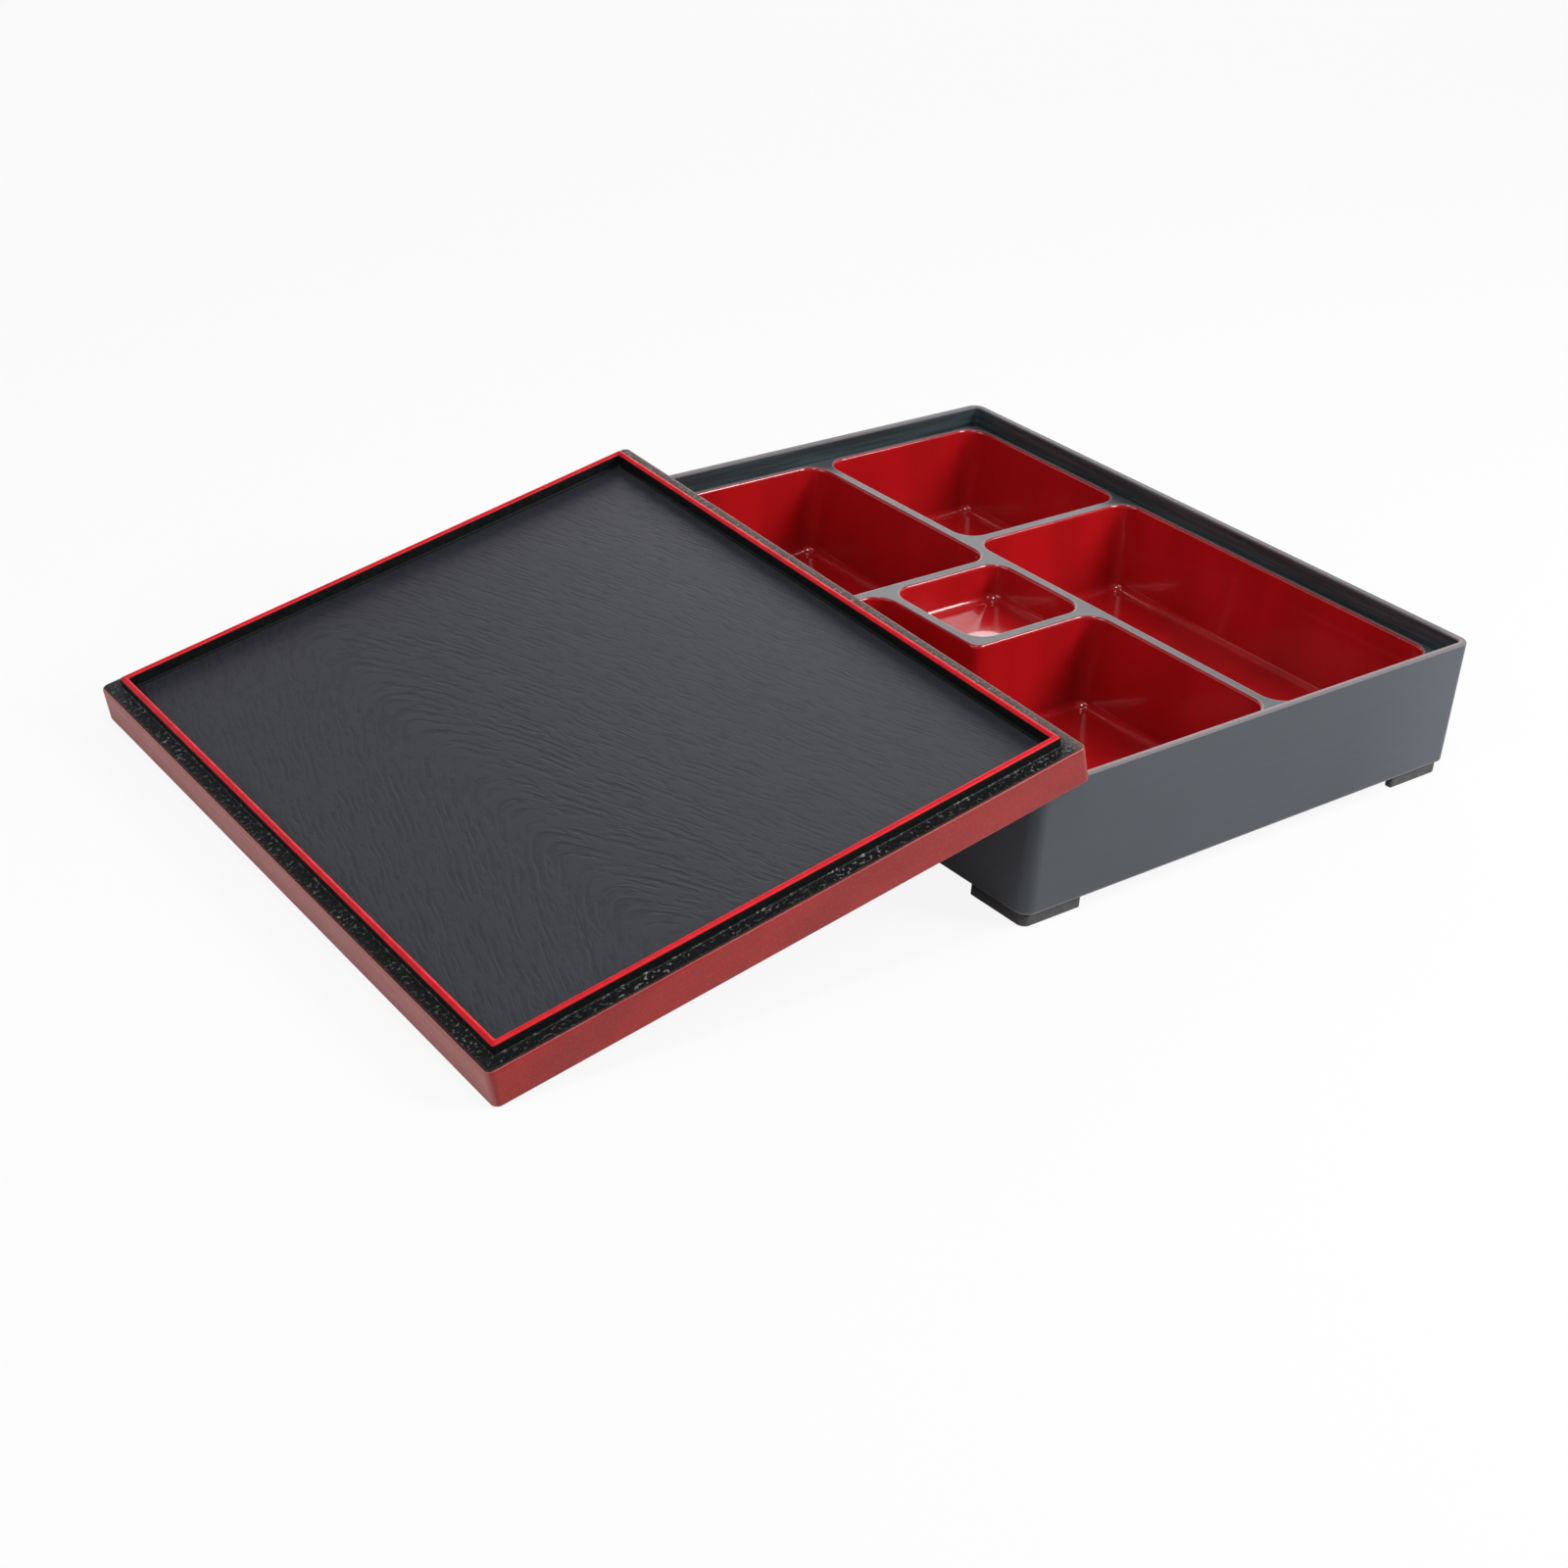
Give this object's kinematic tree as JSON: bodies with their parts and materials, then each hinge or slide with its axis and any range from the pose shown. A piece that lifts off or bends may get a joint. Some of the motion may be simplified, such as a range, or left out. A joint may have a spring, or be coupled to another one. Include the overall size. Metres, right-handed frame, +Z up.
{
  "type": "bento box",
  "caption": "Shallow rectangular lunch box on corner feet with a drop-in compartment tray and a leaning lid with a raised bead.",
  "frame": {"origin": "on the table, under the centre of the bounding box of the whole set: box, insert and leaning lid", "axes": "+X from the leaning lid towards the box, across the box's short side; +Y along the box's long side, away from the near wall; +Z up"},
  "size_m": [0.4146, 0.2886, 0.0691],
  "materials": {
    "charcoal_grain": "satin, fine moulded wood grain",
    "glossy_red": "glossy red with a satin charcoal rim",
    "black_grain": "satin black wood grain with a glossy red side and bead"
  },
  "bodies": {
    "box": {"outer_box": "charcoal_grain"},
    "insert": {"compartment_insert": "glossy_red"},
    "lid": {"lid": "black_grain"}
  },
  "joints": [
    {"name": "insert_lift", "type": "slide", "parent": "box", "child": "insert", "axis": [0, 0, 1], "range_m": [0, 0.06]},
    {"name": "lid_lift", "type": "slide", "parent": "insert", "child": "lid", "axis": [0, 0, 1], "range_m": [0, 0.12]}
  ]
}
